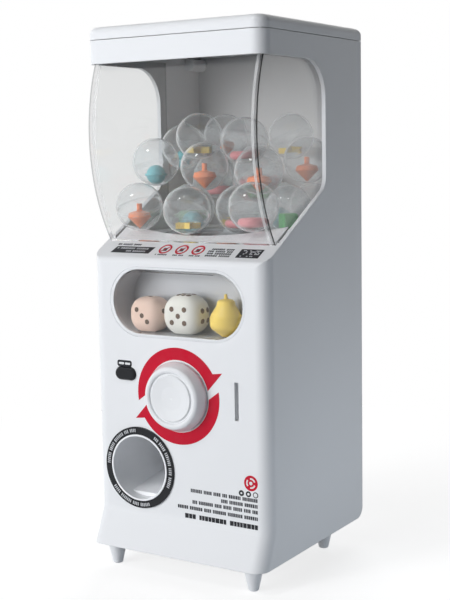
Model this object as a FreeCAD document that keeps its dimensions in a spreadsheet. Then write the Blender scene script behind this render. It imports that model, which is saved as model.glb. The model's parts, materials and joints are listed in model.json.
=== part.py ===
import FreeCAD, Part
import Sketcher
import math
import os

# Tabletop capsule vending machine, in millimetres.
# X is to the right seen from the front, Y runs to the back, Z is up from the floor.

Vector = FreeCAD.Vector
doc = FreeCAD.newDocument("capsule_machine")

# Driving sizes
SIZES = {
    # Cabinet
    "width": 140.0,
    "depth": 136.5,
    "foot_height": 16.0,
    "shell_height": 347.0,
    "lid_height": 9.0,
    "wall": 3.0,
    "flare_reach": 11.0,
    "flare_height": 24.5,
    "flare_blend": 13.0,
    "corner_radius": 9.0,
    "heel_radius": 8.0,
    "header_height": 15.7,
    "lid_round": 5.0,
    "lid_seam": 0.35,
    "lid_rim_drop": 5.0,
    "lid_rim_wall": 2.0,
    "ledge_height": 200.4,
    "ledge_angle": 29.3,
    "ledge_round": 5.0,
    "ledge_run": 21.5,
    "window_depth": 82.0,
    "window_corner": 25.0,
    "window_heel": 12.0,
    "fit_gap": 0.3,
    # Clear canopy
    "canopy_radius": 135.0,
    "canopy_bulge": 3.0,
    "canopy_crown": 283.0,
    "canopy_wall": 2.0,
    "canopy_tuck": 5.0,
    "canopy_overlap": 6.0,
    # Back, base and feet
    "panel_wall": 2.5,
    "post_radius": 4.5,
    "post_length": 18.0,
    "screw_radius": 1.5,
    "screw_length": 12.0,
    "screw_head_radius": 2.9,
    "screw_head_height": 1.8,
    "foot_side_inset": 14.0,
    "foot_front_inset": 1.75,
    "foot_rear_inset": 35.75,
    "foot_top_radius": 7.0,
    "foot_tip_radius": 3.4,
    "foot_peg_radius": 3.0,
    # Knob and shaft
    "knob_height": 109.1,
    "knob_radius": 23.6,
    "knob_face_radius": 19.6,
    "knob_reach": 9.6,
    "knob_gap": 0.5,
    "shaft_radius": 2.5,
    "running_gap": 0.05,
    "bush_wall": 2.5,
    "bush_flange": 3.0,
    "lock_disc_radius": 13.0,
    "lock_disc_width": 3.0,
    # Outlet
    "outlet_offset": 33.0,
    "outlet_height": 56.1,
    "outlet_ring_radius": 28.5,
    "outlet_ring_width": 5.2,
    "outlet_ring_height": 1.2,
    "cup_wall": 1.3,
    "ramp_rise": 9.0,
    # Button
    "button_offset": 42.9,
    "button_height": 121.1,
    "button_width": 16.6,
    "button_tall": 8.8,
    "button_reach": 2.2,
    "button_flange": 1.6,
    "guide_depth": 15.0,
    "guide_wall": 1.6,
    "spring_radius": 2.6,
    "spring_wire": 0.6,
    # Coin way
    "slot_offset": 46.3,
    "slot_height": 109.8,
    "slot_tall": 25.4,
    "slot_width": 2.9,
    "slot_plate_wall": 1.2,
    "chute_gap": 3.2,
    "chute_wall": 1.5,
    "drawer_side_gap": 2.2,
    "drawer_tall": 30.0,
    "drawer_length": 98.0,
    "drawer_wall": 2.0,
    "drawer_lift": 10.0,
    "lever_thick": 3.0,
    "lever_pin_radius": 2.0,
    # Display window
    "display_width": 108.0,
    "display_tall": 48.0,
    "display_height": 171.5,
    "display_rim": 2.0,
    "display_bulge": 2.6,
    "display_depth": 21.0,
    # Capsules and wheel
    "capsule_radius": 16.5,
    "capsule_wall": 0.9,
    "capsule_gap": 0.3,
    "pile_side_gap": 0.8,
    "pile_setback": 26.8,
    "wheel_front_room": 5.25,
    "wheel_back_room": 2.25,
    "wheel_gap": 0.5,
    "pocket_radius": 17.6,
    "skirt_length": 60.0,
    "floor_height": 215.0,
    "floor_wall": 3.0,
    "lip_radius": 190.0,
    "lip_setback": 26.75,
    "deck_wall": 2.5,
    "agitator_radius": 11.0,
    "agitator_height": 9.0,
    "wheel_shaft_radius": 3.0,
    "drop_wall": 1.6,
    # Gears
    "tooth_module": 1.04,
    "pinion_teeth": 9,
    "crown_teeth": 18,
    "gear_face": 2.0,
    "bracket_wall": 3.0,
}

sheet = doc.addObject("Spreadsheet::Sheet", "Sizes")
for row, (alias, number) in enumerate(SIZES.items(), start=1):
    sheet.set(f"A{row}", alias)
    sheet.set(f"B{row}", str(number))
    sheet.setAlias(f"B{row}", alias)
doc.recompute()


class Size:
    """A length that carries its number and the sheet formula it comes from."""

    def __init__(self, number, formula):
        self.number = float(number)
        self.formula = formula

    def __add__(self, other):
        return combine(self, other, "+", self.number + number_of(other))

    def __radd__(self, other):
        return combine(other, self, "+", number_of(other) + self.number)

    def __sub__(self, other):
        return combine(self, other, "-", self.number - number_of(other))

    def __rsub__(self, other):
        return combine(other, self, "-", number_of(other) - self.number)

    def __mul__(self, other):
        return combine(self, other, "*", self.number * number_of(other))

    def __rmul__(self, other):
        return combine(other, self, "*", number_of(other) * self.number)

    def __truediv__(self, other):
        return combine(self, other, "/", self.number / number_of(other))

    def __neg__(self):
        return Size(-self.number, f"(0 - {self.formula})")


def number_of(item):
    return item.number if isinstance(item, Size) else float(item)


def formula_of(item):
    return item.formula if isinstance(item, Size) else f"({float(item)!r})"


def combine(left, right, sign, number):
    return Size(number, f"({formula_of(left)} {sign} {formula_of(right)})")


def size(alias):
    return Size(sheet.get(alias), f"Sizes.{alias}")


def tangent(angle):
    number = math.tan(math.radians(angle.number))
    return Size(number, f"tan({angle.formula} * 1 deg)")


def cosine(angle):
    number = math.cos(math.radians(angle.number))
    return Size(number, f"cos({angle.formula} * 1 deg)")


def bind(item, name, value):
    if isinstance(value, Size):
        item.setExpression(name, value.formula)
    else:
        setattr_path(item, name, value)


def setattr_path(item, name, value):
    if name.startswith("Placement.Base."):
        base = item.Placement.Base
        setattr(base, name[-1], float(value))
        item.Placement = FreeCAD.Placement(base, item.Placement.Rotation)
    else:
        setattr(item, name, value)


# Solids from plain forms
AXIS_TURN = {
    "x": FreeCAD.Rotation(Vector(0, 1, 0), 90),
    "y": FreeCAD.Rotation(Vector(1, 0, 0), -90),
    "z": FreeCAD.Rotation(),
}
count = {"made": 0}


def fresh(kind):
    count["made"] += 1
    return f"{kind}_{count['made']}"


def place(item, x, y, z):
    bind(item, "Placement.Base.x", x)
    bind(item, "Placement.Base.y", y)
    bind(item, "Placement.Base.z", z)
    return item


def block(x, y, z, along_x, along_y, along_z):
    """Box with its lowest corner at x, y, z."""
    item = doc.addObject("Part::Box", fresh("block"))
    bind(item, "Length", along_x)
    bind(item, "Width", along_y)
    bind(item, "Height", along_z)
    return place(item, x, y, z)


def rod(axis, x, y, z, radius, length):
    """Round bar that starts at x, y, z and runs along the plus axis."""
    item = doc.addObject("Part::Cylinder", fresh("rod"))
    bind(item, "Radius", radius)
    bind(item, "Height", length)
    item.Placement = FreeCAD.Placement(Vector(), AXIS_TURN[axis])
    return place(item, x, y, z)


def taper(axis, x, y, z, radius, end_radius, length):
    item = doc.addObject("Part::Cone", fresh("taper"))
    bind(item, "Radius1", radius)
    bind(item, "Radius2", end_radius)
    bind(item, "Height", length)
    item.Placement = FreeCAD.Placement(Vector(), AXIS_TURN[axis])
    return place(item, x, y, z)


def fuse(*items):
    item = doc.addObject("Part::MultiFuse", fresh("fuse"))
    item.Shapes = list(items)
    item.Refine = True
    return item


def cut(base, *tools):
    item = doc.addObject("Part::Cut", fresh("cut"))
    item.Base = base
    item.Tool = tools[0] if len(tools) == 1 else fuse(*tools)
    item.Refine = True
    return item


def overlap(*items):
    item = doc.addObject("Part::MultiCommon", fresh("common"))
    item.Shapes = list(items)
    item.Refine = True
    return item


def pill(x, y, z, wide, tall, deep):
    """Bar with round ends, lying along X with its middle at x and z, from y back."""
    radius = tall / 2
    half = wide / 2 - radius
    return fuse(
        block(x - half, y, z - radius, half * 2, deep, tall),
        rod("y", x - half, y, z, radius, deep),
        rod("y", x + half, y, z, radius, deep),
    )


def rounded(base, radius, wanted):
    """Round the edges whose middle point the test picks."""
    doc.recompute()
    picked = []
    for index, edge in enumerate(base.Shape.Edges, start=1):
        middle = edge.valueAt((edge.FirstParameter + edge.LastParameter) / 2)
        if wanted(edge, middle):
            picked.append((index, number_of(radius), number_of(radius)))
    item = doc.addObject("Part::Fillet", fresh("round"))
    item.Base = base
    item.Edges = picked
    return item


# Sketched bodies
PLANES = {"xy": "XY_Plane", "xz": "XZ_Plane", "yz": "YZ_Plane"}


def new_body(label):
    return doc.addObject("PartDesign::Body", label + "_body")


def rounded_corner(before, corner, after, radius):
    """Points where a rounded corner starts and ends, its centre, and its turning sense."""
    back = (before - corner).normalize()
    ahead = (after - corner).normalize()
    half = back.getAngle(ahead) / 2
    reach = radius / math.tan(half)
    middle = (back + ahead).normalize()
    centre = corner + middle * (radius / math.sin(half))
    turn = (corner - before).cross(after - corner).z
    return corner + back * reach, corner + ahead * reach, centre, turn > 0


def tie_point(sketch, geometry, corner):
    """Hold a point of the sketch at its sheet coordinates."""
    for kind, value in (("DistanceX", corner[0]), ("DistanceY", corner[1])):
        tie = sketch.addConstraint(
            Sketcher.Constraint(kind, -1, 1, geometry, 1, number_of(value))
        )
        if isinstance(value, Size):
            sketch.setExpression(f"Constraints[{tie}]", value.formula)


def outline(body, plane, corners):
    """Closed outline on an origin plane; a third entry in a corner rounds it."""
    sketch = body.newObject("Sketcher::SketchObject", fresh("outline"))
    for feature in body.Origin.OriginFeatures:
        if feature.Role == PLANES[plane]:
            sketch.AttachmentSupport = (feature, [""])
    sketch.MapMode = "FlatFace"
    total = len(corners)
    points = [Vector(number_of(entry[0]), number_of(entry[1]), 0) for entry in corners]
    starts = list(points)
    ends = list(points)
    arcs = {}
    for index, entry in enumerate(corners):
        if len(entry) > 2:
            before = points[index - 1]
            after = points[(index + 1) % total]
            found = rounded_corner(before, points[index], after, number_of(entry[2]))
            ends[index], starts[index], centre, left = found
            arcs[index] = (centre, left, entry[2])
    for index in range(total):
        sketch.addGeometry(Part.LineSegment(starts[index], ends[(index + 1) % total]))
    for index, entry in enumerate(corners):
        line_in = (index - 1) % total
        if index not in arcs:
            sketch.addConstraint(Sketcher.Constraint("Coincident", line_in, 2, index, 1))
            tie_point(sketch, index, entry)
            continue
        centre, left, radius = arcs[index]
        first, last = (ends[index], starts[index]) if left else (starts[index], ends[index])
        angle_first = math.atan2(first.y - centre.y, first.x - centre.x)
        angle_last = math.atan2(last.y - centre.y, last.x - centre.x)
        circle = Part.Circle(centre, Vector(0, 0, 1), number_of(radius))
        arc = sketch.addGeometry(Part.ArcOfCircle(circle, angle_first, angle_last))
        arc_in, arc_out = (1, 2) if left else (2, 1)
        point = sketch.addGeometry(Part.Point(points[index]), True)
        tie_point(sketch, point, entry)
        for line in (line_in, index):
            sketch.addConstraint(Sketcher.Constraint("PointOnObject", point, 1, line))
        sketch.addConstraint(Sketcher.Constraint("Tangent", line_in, 2, arc, arc_in))
        sketch.addConstraint(Sketcher.Constraint("Tangent", index, 1, arc, arc_out))
        tie = sketch.addConstraint(Sketcher.Constraint("Radius", arc, number_of(radius)))
        if isinstance(radius, Size):
            sketch.setExpression(f"Constraints[{tie}]", radius.formula)
    return sketch


def pad(body, sketch, length):
    feature = body.newObject("PartDesign::Pad", fresh("pad"))
    feature.Profile = sketch
    feature.SideType = "Symmetric"
    bind(feature, "Length", length)
    return feature


def pocket(body, sketch, length):
    feature = body.newObject("PartDesign::Pocket", fresh("pocket"))
    feature.Profile = sketch
    feature.SideType = "Symmetric"
    bind(feature, "Length", length)
    return feature


def body_round(body, base, radius, wanted):
    doc.recompute()
    names = []
    for index, edge in enumerate(base.Shape.Edges, start=1):
        middle = edge.valueAt((edge.FirstParameter + edge.LastParameter) / 2)
        if wanted(edge, middle):
            names.append(f"Edge{index}")
    feature = body.newObject("PartDesign::Fillet", fresh("round"))
    feature.Base = (base, names)
    bind(feature, "Radius", radius)
    return feature


def spin(body, sketch, axis_role):
    feature = body.newObject("PartDesign::Revolution", fresh("spin"))
    feature.Profile = sketch
    for part in body.Origin.OriginFeatures:
        if part.Role == axis_role:
            feature.ReferenceAxis = (part, [""])
    feature.Angle = 360.0
    return feature


def near(value, other, slack=0.05):
    return abs(number_of(value) - number_of(other)) < slack


NODES = {}


def finish(label, item):
    """Give a finished sub-part its name."""
    item.Label = label
    NODES[label] = item
    return item


def group(label, shapes):
    """Several separate equal solids under one name."""
    item = doc.addObject("Part::Feature", label + "_set")
    item.Shape = Part.makeCompound(shapes)
    return finish(label, item)


# Levels and lines shared by several pieces
front = -(size("depth") - size("flare_reach")) / 2
back = (size("depth") + size("flare_reach")) / 2
half_width = size("width") / 2
inner = half_width - size("wall")
fit = size("fit_gap")
base_z = size("foot_height")
seam_z = base_z + size("shell_height")
header_z = seam_z - size("header_height")
ledge_z = base_z + size("ledge_height")
floor_z = base_z + size("floor_height")
panel_face = front + size("wall")
ledge_rise = tangent(size("ledge_angle"))
ledge_skin = size("wall") / cosine(size("ledge_angle"))
window_y = front + size("window_depth")
ledge_y = front + size("ledge_run")
panel_y = back - size("panel_wall")
knob_z = base_z + size("knob_height")
wheel_start = panel_face + size("display_depth") + size("wheel_front_room")
wheel_end = panel_y - size("wheel_back_room")
wheel_radius = (wheel_end - wheel_start) / 2
wheel_y = wheel_start + wheel_radius
pocket_pitch = wheel_radius * 0.585
wheel_top = floor_z - size("wheel_gap")
wheel_tall = size("capsule_radius") * 2 + 2
wheel_low = wheel_top - wheel_tall
deck_top = wheel_low - size("wheel_gap")
deck_low = deck_top - size("deck_wall")
post_x = inner - size("post_radius") + 1


def slope(y):
    """Height of the sloped ledge's plane at a depth."""
    return ledge_z + (y - front) * ledge_rise


# Cabinet
cabinet = new_body("cabinet")
side = outline(cabinet, "yz", [
    (back, base_z, size("heel_radius")),
    (back, seam_z),
    (front, seam_z),
    (front, base_z + size("flare_height"), size("flare_blend")),
    (front - size("flare_reach"), base_z),
])
cabinet_block = pad(cabinet, side, size("width"))
body_round(
    cabinet, cabinet_block, size("corner_radius"),
    lambda edge, at: near(abs(at.x), half_width) and at.y < front.number + 0.1
    and at.z > base_z.number + 1,
)
pocket(cabinet, outline(cabinet, "yz", [
    (front - 30, header_z),
    (window_y, header_z, size("window_corner")),
    (window_y, slope(window_y), size("window_heel")),
    (front, ledge_z, size("ledge_round")),
    (front, ledge_z - 12),
    (front - 30, ledge_z - 12),
]), size("width") + 20)
pocket(cabinet, outline(cabinet, "yz", [
    (back + 5, base_z - 5),
    (back + 5, seam_z + 5),
    (panel_face, seam_z + 5),
    (panel_face, header_z - 10),
    (ledge_y, header_z - 10),
    (ledge_y, slope(ledge_y) - ledge_skin),
    (panel_face, slope(panel_face) - ledge_skin),
    (panel_face, base_z + size("flare_height")),
    (panel_face - size("flare_reach"), base_z),
    (panel_face - size("flare_reach"), base_z - 5),
]), inner * 2)

post_levels = [base_z + 24, base_z + 150, seam_z - 10.5]
post_depths = [front + 18, back - 24]
rib_depths = [front + 38, back - 14]
posts = []
bores = []
for side_sign in (-1, 1):
    post_at = post_x * side_sign
    for level in post_levels:
        start = panel_y - size("post_length")
        posts.append(rod("y", post_at, start, level, size("post_radius"), size("post_length")))
        bores.append(rod("y", post_at, start + 2, level, size("screw_radius"), size("post_length")))
    for depth_at in post_depths:
        low = base_z + size("panel_wall")
        posts.append(rod("z", post_at, depth_at, low, size("post_radius"), size("post_length")))
        bores.append(rod("z", post_at, depth_at, low - 1, size("screw_radius"), size("post_length") - 1))
    for depth_at in rib_depths:
        rib_x = inner - 7 if side_sign > 0 else -inner - 1
        posts.append(block(rib_x, depth_at - 6, deck_low - 12, 8, 12, 12))
        bores.append(rod("z", post_at, depth_at, deck_low - 11, size("screw_radius"), 12))

display_z = base_z + size("display_height")
outlet_x = -size("outlet_offset")
outlet_z = base_z + size("outlet_height")
cup_outer = size("outlet_ring_radius") - size("outlet_ring_width")
cup_inner = cup_outer - size("cup_wall")
button_x = -size("button_offset")
button_z = base_z + size("button_height")
slot_x = size("slot_offset")
slot_z = base_z + size("slot_height")
bush_outer = size("shaft_radius") + size("running_gap") + size("bush_wall")
through = size("wall") + 4
display_hole_wide = size("display_width") - size("display_rim") * 2
display_hole_tall = size("display_tall") - size("display_rim") * 2
front_holes = [
    pill(0, front - 2, display_z, display_hole_wide, display_hole_tall, through),
    rod("y", 0, front - 2, knob_z, bush_outer, through),
    rod("y", outlet_x, front - 2, outlet_z, cup_outer + fit, through),
    pill(button_x, front - 2, button_z, size("button_width") + fit * 2, size("button_tall") + fit * 2,
         through),
    block(slot_x - size("slot_width") / 2, front - 2, slot_z - size("slot_tall") / 2,
          size("slot_width"), through, size("slot_tall")),
]
finish("cabinet_shell", cut(fuse(cabinet, *posts), *bores, *front_holes))

# Lid with a rim that drops inside the cabinet
lid_z = seam_z + size("lid_seam")
lid_tall = size("lid_height") - size("lid_seam")
lid_body = new_body("lid")
lid_plan = [
    (half_width, front, size("corner_radius")),
    (half_width, back),
    (-half_width, back),
    (-half_width, front, size("corner_radius")),
]
lid_block = pad(lid_body, outline(lid_body, "xy", lid_plan), lid_tall * 2)
body_round(
    lid_body, lid_block, size("lid_round"),
    lambda edge, at: near(at.z, lid_tall),
)
place(lid_body, 0, 0, lid_z)
rim_x = inner - fit
rim_front = panel_face + fit
rim_back = panel_y - fit
rim_tall = size("lid_rim_drop") + size("lid_seam")
rim_wall = size("lid_rim_wall")
lid_rim = cut(
    block(-rim_x, rim_front, lid_z - rim_tall, rim_x * 2, rim_back - rim_front, rim_tall + 2),
    block(-rim_x + rim_wall, rim_front + rim_wall, lid_z - rim_tall - 1,
          (rim_x - rim_wall) * 2, rim_back - rim_front - rim_wall * 2, rim_tall + 2),
)
lid_half = overlap(lid_body, block(-half_width, front, lid_z, half_width * 2, back - front, lid_tall))
lid_hollow = block(-rim_x + rim_wall, rim_front + rim_wall, lid_z - 1,
                   (rim_x - rim_wall) * 2, rim_back - rim_front - rim_wall * 2,
                   lid_tall - size("wall") + 1)
finish("top_lid", cut(fuse(lid_half, lid_rim), lid_hollow))

# Clear canopy: bowed front and two side panes
canopy_half = inner - fit
canopy_y = front - size("canopy_bulge") + size("canopy_radius")
canopy_z = base_z + size("canopy_crown")
canopy_top = header_z + size("canopy_tuck")
pane_y = window_y + size("canopy_overlap")
canopy_drum = cut(
    rod("x", -canopy_half, canopy_y, canopy_z, size("canopy_radius"), canopy_half * 2),
    rod("x", -canopy_half + size("canopy_wall"), canopy_y, canopy_z,
        size("canopy_radius") - size("canopy_wall"), (canopy_half - size("canopy_wall")) * 2),
)
canopy_frame = new_body("canopy_frame")
pad(canopy_frame, outline(canopy_frame, "yz", [
    (front - 15, canopy_top),
    (pane_y, canopy_top),
    (pane_y, slope(pane_y) - size("canopy_overlap") * 2),
    (ledge_y + fit, slope(ledge_y + fit) - size("canopy_overlap") * 2),
    (ledge_y + fit, slope(ledge_y + fit) + fit),
    (front - 15, slope(front - 15) + fit),
]), size("width"))
finish("canopy", overlap(canopy_drum, canopy_frame))

# Back panel with a notch for the coin drawer
drawer_low = base_z + size("drawer_lift")
drawer_x = outlet_x + cup_outer + 4.5
drawer_width = post_x - size("post_radius") - size("drawer_side_gap") - drawer_x
drawer_top = drawer_low + size("drawer_tall")
heel_top = base_z + size("heel_radius") + 0.5
panel_low = heel_top + fit
panel_x = inner - fit
panel_tall = seam_z - panel_low
panel_holes = []
for side_sign in (-1, 1):
    for level in post_levels:
        panel_holes.append(rod("y", post_x * side_sign, panel_y - 1, level,
                               size("screw_radius") + fit, size("panel_wall") + 2))
        panel_holes.append(rod("y", post_x * side_sign, back - size("screw_head_height"), level,
                               size("screw_head_radius") + fit, size("panel_wall")))
finish("back_panel", cut(
    block(-panel_x, panel_y, panel_low, panel_x * 2, size("panel_wall"), panel_tall),
    block(drawer_x - 0.5, panel_y - 1, panel_low - 1, drawer_width + 1,
          size("panel_wall") + 2, drawer_top + 0.5 - panel_low + 1),
    *panel_holes,
))

# Base plate with its heel turned up to meet the back panel
plate = new_body("base_plate")
plate_rake = size("panel_wall") * size("flare_reach") / size("flare_height")
plate_front = panel_face - size("flare_reach") + plate_rake + fit
pad(plate, outline(plate, "yz", [
    (plate_front, base_z),
    (back, base_z, size("heel_radius")),
    (back, heel_top),
    (panel_y, heel_top),
    (panel_y, base_z + size("panel_wall"), size("heel_radius") - size("panel_wall")),
    (plate_front, base_z + size("panel_wall")),
]), panel_x * 2)
foot_x = half_width - size("foot_side_inset")
foot_depths = {"front": front + size("foot_front_inset"), "rear": back - size("foot_rear_inset")}
plate_top = base_z + size("panel_wall")
plate_holes = []
for side_sign in (-1, 1):
    for depth_at in post_depths:
        plate_holes.append(rod("z", post_x * side_sign, depth_at, base_z - 1,
                               size("screw_radius") + fit, size("panel_wall") + 2))
    for depth_at in foot_depths.values():
        plate_holes.append(rod("z", foot_x * side_sign, depth_at, base_z - 1,
                               size("foot_peg_radius") + size("running_gap"), size("panel_wall") + 2))
runner_y = panel_y - size("drawer_length")
runner_tall = drawer_low - fit - plate_top
runners = []
for offset in (6, drawer_width - 11):
    runners.append(block(drawer_x + offset, runner_y, plate_top - 0.5, 3,
                         size("drawer_length") - 8, runner_tall + 0.5))
finish("base_plate", cut(fuse(plate, *runners), *plate_holes))

# Feet with a peg through the base plate
for row_name, depth_at in foot_depths.items():
    for side_name, side_sign in (("left", -1), ("right", 1)):
        foot = new_body("foot")
        tip = size("foot_tip_radius")
        sketch = outline(foot, "xz", [
            (0, 0),
            (tip, 0, 1.2),
            (size("foot_top_radius"), base_z),
            (size("foot_peg_radius"), base_z),
            (size("foot_peg_radius"), plate_top + 2),
            (0, plate_top + 2),
        ])
        spin(foot, sketch, "Z_Axis")
        place(foot, foot_x * side_sign, depth_at, 0)
        finish(f"foot_{row_name}_{side_name}", foot)

# Screws: pan heads with a driver slot
def screw(x, y, z, axis, shank):
    """Screw with its head seated at x, y, z; the shank runs away from the head."""
    head_radius = size("screw_head_radius")
    head = size("screw_head_height")
    radius = size("screw_radius") - size("running_gap")
    slot_wide = head_radius * 1.5
    slot_thin = head_radius * 0.3
    slot_deep = head / 2
    if axis == "front":
        solid = fuse(taper("y", x, y, z, head_radius, head_radius * 0.8, head),
                     rod("y", x, y - shank, z, radius, shank))
        slot = block(x - slot_wide / 2, y + head - slot_deep, z - slot_thin / 2,
                     slot_wide, slot_deep + 1, slot_thin)
    elif axis == "up":
        solid = fuse(taper("z", x, y, z - head, head_radius * 0.8, head_radius, head),
                     rod("z", x, y, z, radius, shank))
        slot = block(x - slot_wide / 2, y - slot_thin / 2, z - head - 1,
                     slot_wide, slot_thin, slot_deep + 1)
    else:
        solid = fuse(taper("z", x, y, z, head_radius, head_radius * 0.8, head),
                     rod("z", x, y, z - shank, radius, shank))
        slot = block(x - slot_wide / 2, y - slot_thin / 2, z + head - slot_deep,
                     slot_wide, slot_thin, slot_deep + 1)
    return cut(solid, slot)


def screw_set(label, screws):
    item = doc.addObject("Part::Compound", label + "_set")
    item.Links = screws
    return finish(label, item)


def both_sides(values):
    return [(sign, value) for sign in (-1, 1) for value in values]


shank = size("screw_length")
screw_set("back_screws", [
    screw(post_x * sign, back - size("screw_head_height"), level, "front", shank)
    for sign, level in both_sides(post_levels)
])
screw_set("base_screws", [
    screw(post_x * sign, depth_at, base_z, "up", shank) for sign, depth_at in both_sides(post_depths)
])
screw_set("deck_screws", [
    screw(post_x * sign, depth_at, deck_top, "down", shank - 2)
    for sign, depth_at in both_sides(rib_depths)
])

# Deck under the wheel, with the drop hole on the left
drop_x = -pocket_pitch
drop_inner = size("pocket_radius")
drop_outer = drop_inner + size("drop_wall")
deck_front = panel_face + size("display_depth") + 5
wheel_shaft_radius = size("wheel_shaft_radius")
wheel_bush_outer = wheel_shaft_radius + size("running_gap") + size("bush_wall")
deck_holes = [
    rod("z", drop_x, wheel_y, deck_low - 1, drop_inner, size("deck_wall") + 2),
    rod("z", 0, wheel_y, deck_low - 1, wheel_bush_outer + size("running_gap"), size("deck_wall") + 2),
]
for sign, depth_at in both_sides(rib_depths):
    deck_holes.append(rod("z", post_x * sign, depth_at, deck_low - 1,
                          size("screw_radius") + fit, size("deck_wall") + 2))
finish("wheel_deck", cut(
    block(-panel_x, deck_front, deck_low, panel_x * 2, panel_y - fit - deck_front, size("deck_wall")),
    *deck_holes,
))
finish("wheel_bush", cut(
    fuse(rod("z", 0, wheel_y, deck_low - 3, wheel_bush_outer, deck_top - deck_low + 3),
         rod("z", 0, wheel_y, deck_low - 3, wheel_bush_outer + size("bush_flange"), 3)),
    rod("z", 0, wheel_y, deck_low - 4, wheel_shaft_radius + size("running_gap"), 12),
))

# Hopper tray: sloped lip, level floor round the wheel, side skirts down to the deck
tray = new_body("tray")
tray_front = ledge_y + fit
lip_back = front + size("lip_setback") + 14
tray_half = canopy_half - size("canopy_wall") - fit
tray_low = floor_z - size("floor_wall")
pad(tray, outline(tray, "yz", [
    (tray_front, tray_low - 4),
    (tray_front + 2.5, tray_low - 4),
    (tray_front + 2.5, tray_low),
    (panel_y - fit, tray_low),
    (panel_y - fit, floor_z),
    (lip_back, floor_z),
    (lip_back, slope(lip_back)),
    (tray_front, slope(tray_front)),
]), tray_half * 2)
skirts = []
for x_low in (-tray_half, tray_half - 3):
    skirts.append(block(x_low, wheel_y - size("skirt_length") / 2, deck_top, 3, size("skirt_length"),
                        tray_low - deck_top + 1))
tray_room = rod("x", -tray_half, canopy_y, canopy_z, size("canopy_radius") - size("canopy_wall") - fit,
                tray_half * 2)
lip_y = front + size("lip_setback")
finish("hopper_tray", cut(
    fuse(overlap(tray, tray_room), *skirts),
    rod("z", 0, wheel_y, tray_low - 1, wheel_radius + size("wheel_gap"), size("floor_wall") + 2),
    rod("z", 0, lip_y + size("lip_radius"), floor_z, size("lip_radius"), 40),
))

# Dispensing wheel, agitator and shaft
pitch = pocket_pitch
pocket_spots = [(pitch, 0), (0, pitch), (-pitch, 0), (0, -pitch)]
pockets = []
for step_x, step_y in pocket_spots:
    pockets.append(rod("z", step_x, wheel_y + step_y, wheel_low - 1, size("pocket_radius"),
                       wheel_tall + 2))
finish("dispensing_wheel", cut(
    rod("z", 0, wheel_y, wheel_low, wheel_radius, wheel_tall),
    rod("z", 0, wheel_y, wheel_low - 1, wheel_shaft_radius + size("running_gap"), wheel_tall + 2),
    *pockets,
))
finish("agitator", rounded(
    taper("z", 0, wheel_y, wheel_top, size("agitator_radius"), size("agitator_radius") * 0.4,
          size("agitator_height")),
    2.0,
    lambda edge, at: near(at.z, wheel_top + size("agitator_height")),
))
crown_radius = size("tooth_module") * size("crown_teeth") / 2
pinion_radius = size("tooth_module") * size("pinion_teeth") / 2
addendum = size("tooth_module") * 0.86
root_depth = size("tooth_module") * 1.2
mesh_z = knob_z + pinion_radius
crown_root = mesh_z + root_depth
crown_outer = crown_radius + size("gear_face") / 2
arm_z = crown_root + 7
finish("wheel_shaft", rod("z", 0, wheel_y, crown_root, wheel_shaft_radius, wheel_top - crown_root))

# Knob, shaft and bush
knob = new_body("knob")
reach = size("knob_reach")
edge_radius = size("knob_radius")
face_radius = size("knob_face_radius")
hub = size("shaft_radius") + size("running_gap")
spin(knob, outline(knob, "xz", [
    (hub, size("knob_gap")),
    (edge_radius, size("knob_gap")),
    (edge_radius, 2.6, 1.2),
    (face_radius + 1.2, reach - 0.6, 2.4),
    (face_radius - 0.6, reach, 1.0),
    (face_radius - 2.0, reach - 0.4, 0.5),
    (face_radius - 2.6, reach - 1.5),
    (face_radius - 3.6, reach - 1.5),
    (face_radius - 4.2, reach - 0.5),
    (8, reach - 1.5),
    (0, reach - 1.8),
    (0, reach - 4),
    (hub, reach - 4),
]), "Z_Axis")
knob.Placement = FreeCAD.Placement(Vector(), FreeCAD.Rotation(Vector(1, 0, 0), 90))
place(knob, 0, front, knob_z)
finish("knob", knob)
shaft_start = front - reach + 4.2
pinion_y = wheel_y - crown_radius
shaft_end = pinion_y + size("gear_face") / 2 + 0.6
finish("knob_shaft", rod("y", 0, shaft_start, knob_z, size("shaft_radius"), shaft_end - shaft_start))
finish("shaft_bush", cut(
    fuse(rod("y", 0, front, knob_z, bush_outer - size("running_gap"), size("wall") + 6),
         rod("y", 0, panel_face, knob_z, bush_outer + size("bush_flange"), 2.5)),
    rod("y", 0, front - 1, knob_z, hub, size("wall") + 9),
))
lock_y = front + 16
notch_radius = size("lock_disc_radius") * 0.22
lock_notches = []
for step_x, step_z in ((1, 1), (-1, -1)):
    lock_notches.append(rod("y", size("lock_disc_radius") * 0.72 * step_x, lock_y - 1,
                            knob_z + size("lock_disc_radius") * 0.72 * step_z, notch_radius,
                            size("lock_disc_width") + 2))
finish("lock_disc", cut(
    rod("y", 0, lock_y, knob_z, size("lock_disc_radius"), size("lock_disc_width")),
    rod("y", 0, lock_y - 1, knob_z, hub, size("lock_disc_width") + 2),
    *lock_notches,
))

# Gears: small pinion on the knob shaft under a face gear on the wheel shaft
def tooth_prism(points, direction):
    wire = Part.makePolygon(points + points[:1])
    return Part.Face(wire).extrude(direction)


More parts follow.
